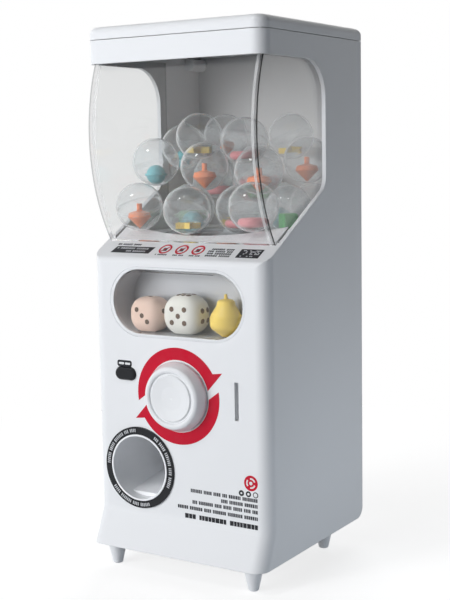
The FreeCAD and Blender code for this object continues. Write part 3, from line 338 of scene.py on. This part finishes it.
# Painted shade: the window's rim is darker.
WINDOW = dark_edged_shell("window_clear", (0.93, 0.94, 0.95), (0.5, 0.51, 0.53), through=0.95,
                          coat=0.15, coat_ior=1.5)
TOYS = {
    "peach": moulded("toy_peach", (0.84, 0.62, 0.51), 0.4, 0.06),
    "cream": moulded("toy_cream", (0.80, 0.785, 0.72), 0.45, 0.05),
    "yellow": moulded("toy_yellow", (0.90, 0.66, 0.15), 0.4, 0.08),
    "orange": moulded("toy_orange", (0.83, 0.22, 0.07), 0.35, 0.1),
    "pink": moulded("toy_pink", (0.80, 0.30, 0.32), 0.35, 0.1),
    "green": moulded("toy_green", (0.03, 0.36, 0.08), 0.35, 0.15),
    "brown": moulded("toy_brown", (0.13, 0.08, 0.05), 0.4, 0.1),
    "teal": moulded("toy_teal", (0.16, 0.50, 0.55), 0.35, 0.1),
}
RED_INK = printed("red_ink", (0.54, 0.008, 0.03))
BLACK_INK = printed("black_ink", (0.02, 0.021, 0.025))
WHITE_INK = printed("white_ink", (0.78, 0.79, 0.80))
DARK_INK = printed("dark_ink", (0.05, 0.052, 0.06))
PALE_INK = printed("pale_ink", (0.55, 0.56, 0.58))

# The material of each slot in the record, then the nodes that differ from their slot
FINISH = {
    "white_plastic": WHITE,
    "knob_plastic": KNOB,
    "grey_plastic": GREY,
    "clear_plastic": CANOPY,
    "capsule_clear": CAPSULE,
    "black_plastic": BLACK,
    "wheel_plastic": WHEEL,
    "bush_plastic": BUSH,
    "steel": STEEL,
    "toy_peach": TOYS["peach"],
    "toy_cream": TOYS["cream"],
    "toy_yellow": TOYS["yellow"],
    "toy_orange": TOYS["orange"],
    "toy_pink": TOYS["pink"],
    "toy_green": TOYS["green"],
    "toy_teal": TOYS["teal"],
}
# Painted shade on the back panel's inside and on the display tray, and painted light in the outlet and
# coin-slot recesses.
SPECIAL = {
    "back_panel": BACK_SHADED_INSIDE,
    "slot_plate": LIGHTENED_RECESS,
    "coin_chute": LIGHTENED_RECESS,
    "display_tray": SHADED_TRAY,
    "outlet_cup": LIGHTENED_RECESS,
    "exit_ramp": LIGHTENED_RECESS,
    "foot_front_left": WHITE,
    "foot_front_right": WHITE,
    "foot_rear_left": WHITE,
    "foot_rear_right": WHITE,
}
slots = {entry["node"]: entry["material_slot"] for entry in frame["record"]["subparts"]}
for name, node in nodes.items():
    material = SPECIAL.get(name, FINISH[slots[name]])
    node.data.materials.clear()
    node.data.materials.append(material)


# Clear shells, each as one outer skin, so that the ones behind still show
def islands(mesh):
    """Groups of faces that hang together, one for each solid."""
    owner = list(range(len(mesh.vertices)))

    def root(index):
        while owner[index] != index:
            owner[index] = owner[owner[index]]
            index = owner[index]
        return index

    for edge in mesh.edges:
        owner[root(edge.vertices[0])] = root(edge.vertices[1])
    found = {}
    for face in mesh.polygons:
        found.setdefault(root(face.vertices[0]), []).append(face)
    return list(found.values())


def new_piece(name, points, faces, material, smooth):
    mesh = bpy.data.meshes.new(name)
    mesh.from_pydata(points, [], faces)
    for face in mesh.polygons:
        face.use_smooth = smooth
    mesh.materials.append(material)
    mesh.update()
    piece = bpy.data.objects.new(name, mesh)
    bpy.context.scene.collection.objects.link(piece)
    return piece


def outer_skin(name, node_name, material):
    """The faces of each solid that look away from its middle, as a thin piece."""
    node = nodes[node_name]
    mesh = node.data
    points = []
    faces = []
    for solid_faces in islands(mesh):
        used = {index for face in solid_faces for index in face.vertices}
        total = sum((mesh.vertices[index].co for index in used), Vector())
        centre = total / len(used)
        numbers = {}
        for face in solid_faces:
            if (face.center - centre).dot(face.normal) <= 0:
                continue
            corners = []
            for index in face.vertices:
                if index not in numbers:
                    numbers[index] = len(points)
                    points.append(mesh.vertices[index].co.copy())
                corners.append(numbers[index])
            faces.append(corners)
    piece = new_piece(name, points, faces, material, smooth=True)
    piece.matrix_world = node.matrix_world.copy()
    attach(piece, "cabinet")
    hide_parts(node_name)
    return piece


clear_pieces = [
    outer_skin("capsule_dome_skins", "capsule_domes", CAPSULE),
    outer_skin("capsule_cup_skins", "capsule_cups", CAPSULE),
    outer_skin("window_skin", "display_window", WINDOW),
    nodes["canopy"],
]
for piece in clear_pieces:
    piece.visible_shadow = False


# Flat outlines, as lists of points
def polar(radius, angle, centre=(0.0, 0.0)):
    turn = math.radians(angle)
    return (centre[0] + radius * math.cos(turn), centre[1] + radius * math.sin(turn))


def arc_points(radius, start, end, steps, centre=(0.0, 0.0)):
    return [polar(radius, start + (end - start) * step / steps, centre) for step in range(steps + 1)]


def circle_points(radius, count, centre=(0.0, 0.0)):
    return arc_points(radius, 0, 360 - 360 / count, count - 1, centre)


def bar(x_low, x_high, v_low, v_high, slant=0.0):
    return [(x_low, v_low), (x_high, v_low), (x_high + slant, v_high), (x_low + slant, v_high)]


def rounded_bar(x, z, wide, tall, radius, steps=6):
    reach_x = wide / 2 - radius
    reach_z = tall / 2 - radius
    corners = [
        (reach_x, reach_z, 0),
        (-reach_x, reach_z, 90),
        (-reach_x, -reach_z, 180),
        (reach_x, -reach_z, 270),
    ]
    found = []
    for corner_x, corner_z, start in corners:
        found += arc_points(radius, start, start + 90, steps, (x + corner_x, z + corner_z))
    return found


def ring_strips(centre, outer_radius, inner_radius, start, end, steps):
    """A flat ring or part of one, as short strips."""
    outer = arc_points(outer_radius, start, end, steps, centre)
    inner = arc_points(inner_radius, start, end, steps, centre)
    return [[outer[index], outer[index + 1], inner[index + 1], inner[index]] for index in range(steps)]


def turned_over(outlines):
    """The same outlines the other way round, so that they face out of the front."""
    return [list(reversed(outline)) for outline in outlines]


# Pips on the two soft dice in the display, as shallow domes
PIP_PROFILE = ((1.0, -0.3), (1.0, 0.02), (0.85, 0.16), (0.45, 0.28))
PIP_STEPS = 20
AHEAD = (0, -1, 0)
ASIDE = (1, 0, 0)
UPWARD = (0, 0, 1)


def pips(name, node_name, spots, radius):
    """Each spot is an offset from the toy's middle in millimetres, then the side it faces."""
    start_away = 50
    node = nodes[node_name]
    skin = [node.matrix_world @ vertex.co for vertex in node.data.vertices]
    finder = BVHTree.FromPolygons(skin, [tuple(face.vertices) for face in node.data.polygons])
    low = Vector([min(point[axis] for point in skin) for axis in range(3)])
    high = Vector([max(point[axis] for point in skin) for axis in range(3)])
    last_ring = len(PIP_PROFILE) - 1
    points = []
    faces = []
    for offset, side in spots:
        toward = Vector(side)
        start = (low + high) / 2 + Vector(offset) * MM + toward * start_away * MM
        at, normal, _, _ = finder.ray_cast(start, -toward)
        across = normal.orthogonal().normalized()
        up = normal.cross(across)
        first = len(points)
        for share, height in PIP_PROFILE:
            for u, v in circle_points(radius * share, PIP_STEPS):
                points.append(at + (across * u + up * v + normal * height) * MM)
        for ring in range(last_ring):
            for step in range(PIP_STEPS):
                here = first + ring * PIP_STEPS + step
                after = first + ring * PIP_STEPS + (step + 1) % PIP_STEPS
                faces.append([here, after, after + PIP_STEPS, here + PIP_STEPS])
        faces.append([first + last_ring * PIP_STEPS + step for step in range(PIP_STEPS)])
    piece = new_piece(name, points, faces, TOYS["brown"], smooth=True)
    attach(piece, "cabinet")


left_spots = [((-4.2, 0, 4), AHEAD), ((0, 0, 0), AHEAD), ((4.2, 0, -4), AHEAD), ((0, 0, 0), UPWARD)]
left_spots += [((0, -3, 3), ASIDE), ((0, 3, -3), ASIDE)]
middle_spots = [((x, 0, z), AHEAD) for x in (-5, 5) for z in (-4.5, 4.5)] + [((0, 0, 0), AHEAD)]
middle_spots += [((x, y, 0), UPWARD) for x in (-4, 0, 4) for y in (-3, 3)]
middle_spots += [((0, y, z), ASIDE) for y in (-3, 3) for z in (-3.5, 3.5)]
pips("dice_pips_left", "display_toy_left", left_spots, 1.7)
pips("dice_pips_middle", "display_toy_middle", middle_spots, 1.8)


# Printed marks, as thin plates on the surface
def mark(name, outlines, place, thick, material, body="cabinet"):
    """Thin plates from flat outlines; place turns (u, v, height) into a point in millimetres."""
    points = []
    faces = []
    for outline in outlines:
        first = len(points)
        total = len(outline)
        for height in (0.0, thick):
            points.extend(Vector(place(u, v, height)) * MM for u, v in outline)
        faces.append([first + total + index for index in range(total)])
        for index in range(total):
            after = (index + 1) % total
            faces.append([first + index, first + after, first + total + after, first + total + index])
    piece = new_piece(name, points, faces, material, smooth=False)
    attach(piece, body)


def on_front(x, z, height):
    return (x, FRONT - OFF_FRONT - height, z)


def on_ring(x, z, height):
    return on_front(x, z, OUTLET_RING_HEIGHT + height)


def on_ledge(x, run, height):
    """A point on the sloped ledge, run millimetres behind the front plane."""
    lift = height + OFF_LEDGE
    y = FRONT + run - lift * math.sin(LEDGE_ANGLE)
    return (x, y, LEDGE_Z + run * LEDGE_RISE + lift * math.cos(LEDGE_ANGLE))


def above(place, lift):
    return lambda u, v, height: place(u, v, height + lift)


def turning_arrow(start):
    """Clockwise arrow round the knob, as strips that follow the arc, then its barbed head."""
    centre = (0.0, KNOB_Z)
    inner_radius = 24.7
    outer_radius = 33.0
    barb_radius = 40.0
    neck = start + 32
    steps = 40
    outer = arc_points(outer_radius, start + 190, neck, steps, centre)
    inner = arc_points(inner_radius, start + 180, neck, steps, centre)
    strips = []
    for index in range(steps):
        strips.append([outer[index], outer[index + 1], inner[index + 1], inner[index]])
    head = [outer[-1], polar(barb_radius, start + 27.5, centre), polar(inner_radius, start + 13.5, centre)]
    head += arc_points(inner_radius, start + 17, neck, 5, centre)
    strips.append(head)
    return strips


arrows = turning_arrow(0) + turning_arrow(180)
mark("turn_arrows", turned_over(arrows), on_front, ARROW_INK, RED_INK)

# Marks round the outlet ring: small bars in words, in three runs
letter_pitch = 3.0
word_space = 2.6
letter_outside = 27.2
letter_inside = 24.9
ring_bars = []
for first, words in ((96, (4, 3, 7, 5, 6)), (-24, (6, 4, 7, 5, 3)), (216, (5, 7, 4, 6))):
    middle = first
    for letters in words:
        for _ in range(letters):
            half = random.uniform(0.7, 1.0)
            outer = arc_points(letter_outside, middle - half, middle + half, 2, OUTLET)
            inner = arc_points(letter_inside, middle + half, middle - half, 2, OUTLET)
            ring_bars.append(outer + inner)
            middle += letter_pitch
        middle += word_space
mark("ring_bars", turned_over(ring_bars), on_ring, PANEL_INK, PALE_INK)

# Badge above the button
badge_z = 144.0
badge = [rounded_bar(-44.0, badge_z, 12.2, 4.5, 1.6)]
badge_marks = [rounded_bar(x, badge_z, 4.4, 1.5, 0.6) for x in (-46.6, -41.4)]
mark("button_badge", turned_over(badge), on_front, PANEL_INK, BLACK_INK)
mark("badge_marks", turned_over(badge_marks), above(on_front, PANEL_INK), BADGE_MARK_INK, WHITE_INK)


# Rows of small print, as plain bars
WORD_LETTERS = (3, 8)
LETTER_SPREAD = (0.7, 1.15)


def print_row(left, right, low, high, letter, gap):
    """Bars of uneven width in words, ending flush at the right."""
    found = []
    at = right
    letters = 0
    word = random.randint(*WORD_LETTERS)
    while at > left:
        wide = letter * random.uniform(*LETTER_SPREAD)
        found.append(bar(at - wide, at, low, high))
        at -= wide + gap
        letters += 1
        if letters == word:
            at -= letter
            letters = 0
            word = random.randint(*WORD_LETTERS)
    return found


print_right = 61.0
print_gap = 0.35
row_tall = 2.4
rows = []
for left, low in ((8.8, 60.4), (32.6, 56.5), (10.3, 52.6), (-2.0, 48.2)):
    rows += print_row(left, print_right, low, low + row_tall, 1.15, print_gap)
bold_row = print_row(6.5, print_right, 42.0, 45.2, 2.6, print_gap)
mark("small_print", turned_over(rows), on_front, PRINT_INK, DARK_INK)
mark("bold_print", turned_over(bold_row), on_front, PRINT_INK, BLACK_INK)

# Three dots and a round red spot above the print
dot_z = 65.3
dot_radius = 2.0
dot_points = 24
dots = ((48.8, 0.7), (54.2, 0.9), (59.6, 1.4))
dot_discs = [circle_points(dot_radius, dot_points, (x, dot_z)) for x, _ in dots]
dot_middles = [circle_points(middle_radius, dot_points, (x, dot_z)) for x, middle_radius in dots]
mark("print_dots", turned_over(dot_discs), on_front, PRINT_INK, BLACK_INK)
mark("dot_middles", turned_over(dot_middles), above(on_front, PRINT_INK), OVER_INK, WHITE_INK)
spot = (56.2, 72.8)
spot_disc = circle_points(5.2, 36, spot)
spot_marks = []
for start in (20, 140, 260):
    spot_marks += ring_strips(spot, 3.6, 2.5, start, start + 80, 8)
spot_marks.append(circle_points(1.2, dot_points, spot))
mark("red_spot", turned_over([spot_disc]), on_front, PRINT_INK, RED_INK)
mark("spot_marks", turned_over(spot_marks), above(on_front, PRINT_INK), OVER_INK, WHITE_INK)

# Strip on the sloped ledge: two dark panels, three round signs and a block of small bars
panels = [bar(-58, -26, 6.0, 12.6, 1.6), bar(43.5, 60.5, 5.3, 13.8, 0.4)]
mark("strip_black", panels, on_ledge, PANEL_INK, BLACK_INK)
panel_marks = print_row(-55, -29, 9.9, 11.5, 1.3, 0.5)
panel_marks += print_row(-46, -30, 7.2, 8.6, 1.1, 0.5)
cell_wide = 1.2
cell_tall = 1.1
filled_share = 0.42
for row in range(6):
    for column in range(12):
        if random.random() < filled_share:
            left = 45.0 + column * cell_wide
            low = 6.4 + row * cell_tall
            panel_marks.append(bar(left, left + 1.0, low, low + 0.9))
mark("strip_panel_marks", panel_marks, above(on_ledge, PANEL_INK), OVER_INK, PALE_INK)
caption_bars = print_row(-57, -38, 14.0, 15.6, 1.2, 0.5)
sign_run = 11.2
sign_rings = []
sign_middles = []
sign_bars = []
for middle in (-15.2, -1.8, 11.4):
    sign_rings += ring_strips((middle, sign_run), 4.7, 3.5, 0, 360, 28)
    sign_rings.append(bar(middle - 2.9, middle - 1.9, 8.8, 13.3, 4.6))
    sign_middles.append(bar(middle - 1.6, middle + 1.6, 9.4, 12.4))
    sign_bars += print_row(middle - 4, middle + 4.6, 4.9, 6.0, 1.0, 0.4)
for run in (5.4, 7.6, 9.8, 12.0):
    sign_bars += print_row(20, 38.6, run, run + 1.5, 1.2, 0.45)
mark("sign_rings", sign_rings, on_ledge, SIGN_INK, RED_INK)
mark("sign_middles", sign_middles, on_ledge, PANEL_INK, DARK_INK)
mark("strip_bars", sign_bars + caption_bars, on_ledge, PANEL_INK, DARK_INK)


# Floor, light and camera
def seen_directly(tree):
    """1 for what the camera sees, also in gloss and through clear plastic, and 0 for light on a surface."""
    path = tree.nodes.new("ShaderNodeLightPath")
    either = combine(tree, "MAXIMUM", path.outputs["Is Camera Ray"], path.outputs["Is Glossy Ray"])
    every = combine(tree, "MAXIMUM", either, path.outputs["Is Transmission Ray"])
    unscattered = tree.nodes.new("ShaderNodeMath")
    unscattered.operation = "LESS_THAN"
    unscattered.inputs[1].default_value = 0.5
    tree.links.new(path.outputs["Diffuse Depth"], unscattered.inputs[0])
    return combine(tree, "MULTIPLY", every, unscattered.outputs["Value"])


def mix_shaders(tree, factor, first, second):
    mixed = tree.nodes.new("ShaderNodeMixShader")
    tree.links.new(factor, mixed.inputs["Fac"])
    tree.links.new(first, mixed.inputs[1])
    tree.links.new(second, mixed.inputs[2])
    return mixed.outputs["Shader"]


def diffuse(tree, colour):
    surface = tree.nodes.new("ShaderNodeBsdfDiffuse")
    surface.inputs["Color"].default_value = (*colour, 1)
    return surface.outputs["BSDF"]


def emission(tree, level):
    glow = tree.nodes.new("ShaderNodeEmission")
    glow.inputs["Color"].default_value = (level, level, level, 1)
    glow.inputs["Strength"].default_value = 1.0
    return glow.outputs["Emission"]


def backdrop():
    """White floor that keeps the shadow near the machine and is plain white farther out."""
    reach = 6.0
    shadow_from = 0.16
    shadow_to = 0.5
    material = bpy.data.materials.new("floor_white")
    material.use_nodes = True
    tree = material.node_tree
    tree.nodes.clear()
    output = tree.nodes.new("ShaderNodeOutputMaterial")
    lit = diffuse(tree, (0.5, 0.53, 0.57))
    near = tree.nodes.new("ShaderNodeAddShader")
    tree.links.new(diffuse(tree, (0.4, 0.4, 0.4)), near.inputs[0])
    tree.links.new(emission(tree, 0.78), near.inputs[1])
    coords = tree.nodes.new("ShaderNodeTexCoord")
    distance = tree.nodes.new("ShaderNodeVectorMath")
    distance.operation = "LENGTH"
    tree.links.new(coords.outputs["Object"], distance.inputs[0])
    fade = ramp(tree, distance.outputs["Value"], shadow_from, shadow_to, 0.0, 1.0)
    shown = mix_shaders(tree, fade, near.outputs["Shader"], emission(tree, 1.0))
    tree.links.new(mix_shaders(tree, seen_directly(tree), lit, shown), output.inputs["Surface"])
    corners = [(-reach, -reach, 0), (reach, -reach, 0), (reach, reach, 0), (-reach, reach, 0)]
    floor = new_piece("floor", corners, [(0, 1, 2, 3)], material, smooth=False)


def add_light(name, place, target, wide, tall, watts, colour=(1, 1, 1), in_gloss=False):
    lamp = bpy.data.lights.new(name, "AREA")
    lamp.shape = "RECTANGLE"
    lamp.size = wide
    lamp.size_y = tall
    lamp.energy = watts
    lamp.color = colour
    item = bpy.data.objects.new(name, lamp)
    item.location = place
    item.rotation_euler = (Vector(target) - Vector(place)).to_track_quat("-Z", "Y").to_euler()
    item.visible_camera = False
    item.visible_transmission = in_gloss
    item.visible_glossy = in_gloss
    bpy.context.scene.collection.objects.link(item)


def background(tree, colour, strength):
    sky = tree.nodes.new("ShaderNodeBackground")
    sky.inputs["Color"].default_value = (*colour, 1)
    sky.inputs["Strength"].default_value = strength
    return sky.outputs["Background"]


def add_world():
    world = bpy.data.worlds.new("studio")
    world.use_nodes = True
    bpy.context.scene.world = world
    tree = world.node_tree
    tree.nodes.clear()
    output = tree.nodes.new("ShaderNodeOutputWorld")
    light = background(tree, (0.82, 0.91, 1.0), 0.04)
    seen = background(tree, (1, 1, 1), 1.0)
    tree.links.new(mix_shaders(tree, seen_directly(tree), light, seen), output.inputs["Surface"])


def add_camera():
    """Camera at the photograph's place, fitted on the cabinet's straight edges."""
    place = (0.4520, -0.7122, 0.2892)
    azimuth = math.radians(32.47)
    elevation = math.radians(7.18)
    roll = math.radians(-1.03)
    level = math.cos(elevation)
    behind = Vector((math.sin(azimuth) * level, -math.cos(azimuth) * level, math.sin(elevation)))
    right = (-behind).cross(Vector((0, 0, 1))).normalized()
    up = right.cross(-behind)
    turned_right = right * math.cos(roll) + up * math.sin(roll)
    turned_up = up * math.cos(roll) - right * math.sin(roll)
    lens = bpy.data.cameras.new("photo_camera")
    lens.sensor_width = 36.0
    lens.lens = 72.06
    lens.clip_start = 0.01
    camera = bpy.data.objects.new("photo_camera", lens)
    rotation = Matrix((turned_right, turned_up, behind)).transposed()
    camera.matrix_world = Matrix.Translation(place) @ rotation.to_4x4()
    bpy.context.scene.collection.objects.link(camera)
    bpy.context.scene.camera = camera


backdrop()
add_world()
add_light(
    "key",
    place=(-1.3, -2.5, 0.6),
    target=(0, 0, 0.12),
    wide=2.4,
    tall=1.6,
    watts=86.0,
    colour=(0.98, 0.99, 1.0),
)
add_light("back", place=(-0.7, 1.7, 0.9), target=(0, 0, 0.2), wide=1.0, tall=1.0, watts=20.0)
add_light(
    "bounce",
    place=(0.34, 0.02, 0.03),
    target=(0.07, 0.02, 0.04),
    wide=0.3,
    tall=0.05,
    watts=0.24,
    colour=(0.84, 0.92, 1.0),
)
add_light(
    "glint",
    place=(-0.5, -1.1, 1.75),
    target=(0, 0, 0.27),
    wide=0.3,
    tall=0.3,
    watts=6.0,
    in_gloss=True,
)
add_camera()
bpy.context.scene.view_settings.view_transform = "Standard"
